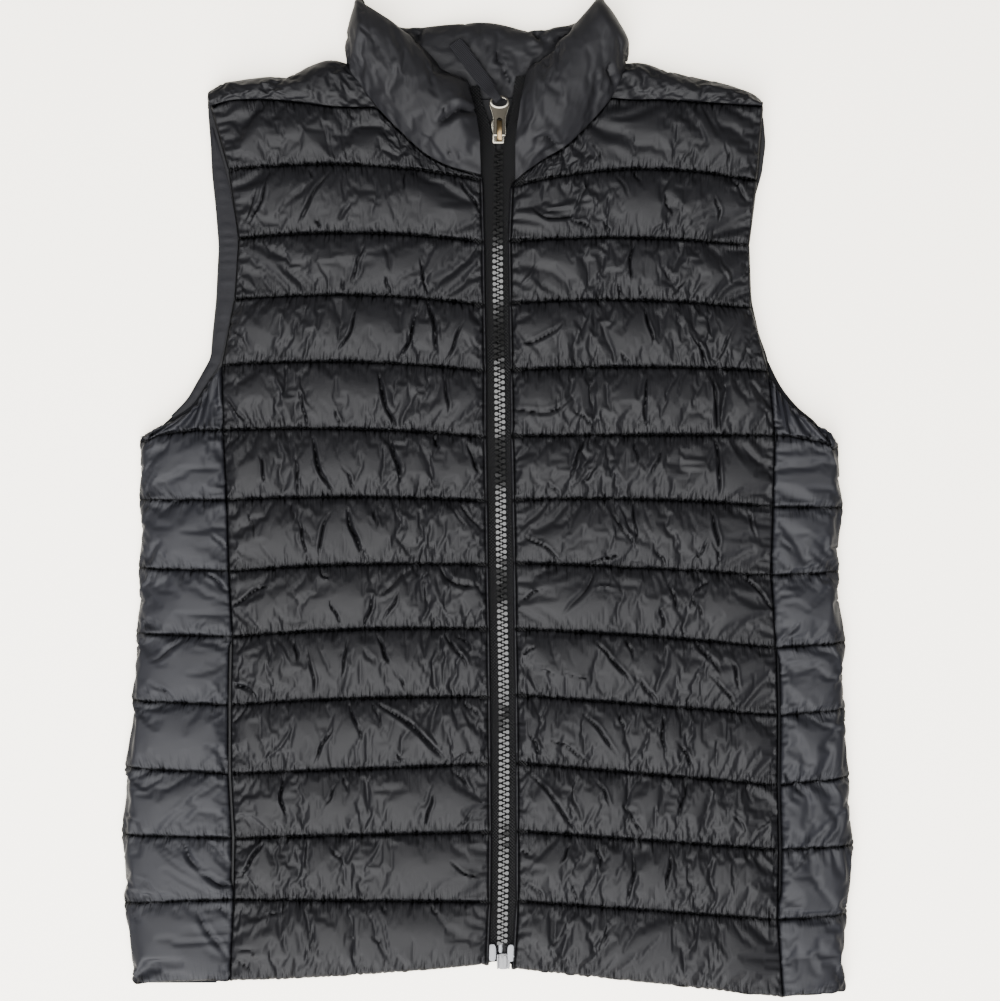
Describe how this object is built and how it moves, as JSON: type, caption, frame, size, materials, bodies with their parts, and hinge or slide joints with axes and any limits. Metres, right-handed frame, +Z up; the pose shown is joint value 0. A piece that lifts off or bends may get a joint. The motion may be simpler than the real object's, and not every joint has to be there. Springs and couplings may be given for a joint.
{
  "type": "puffer vest",
  "caption": "Zipped sleeveless puffer vest with quilted channels and a stand collar, laid flat on its back.",
  "frame": {"origin": "on the surface that the vest lies on, under the middle of its outline", "axes": "+Y from the hem towards the collar, +X to the right as seen from above, +Z up; the fronts face up"},
  "size_m": [0.4122, 0.558, 0.0265],
  "materials": {
    "shell": "black nylon taffeta with a soft satin sheen",
    "side_shell": "charcoal nylon, smoother and a little lighter than the fronts",
    "facing": "plain black lining",
    "zip_tape": "matt twill tape",
    "zip_teeth": "black moulded plastic",
    "zip_metal": "nickel plated, slightly warm",
    "pull_ribbon": "ribbed grosgrain",
    "zip_film": "clear reinforcing film over black tape"
  },
  "bodies": {
    "vest": {"back": "shell", "front_left": "shell", "front_right": "shell", "side_left": "side_shell", "side_right": "side_shell", "collar": "shell", "armhole_facing_left": "facing", "zip_tape_left": "zip_tape", "zip_tape_right": "zip_tape", "zip_chain": "zip_teeth", "zip_slider": "zip_metal", "zip_box": "zip_teeth", "zip_pin": "zip_teeth", "zip_film_left": "zip_film", "zip_film_right": "zip_film"},
    "pull": {"zip_pull": "zip_metal", "pull_ribbon": "pull_ribbon"}
  },
  "joints": [
    {"name": "pull_tab", "type": "hinge", "parent": "vest", "child": "pull", "pos_m": [0.0067, 0.2044, 0.0175], "axis": [1, 0, 0], "range_deg": [0, 165]}
  ]
}
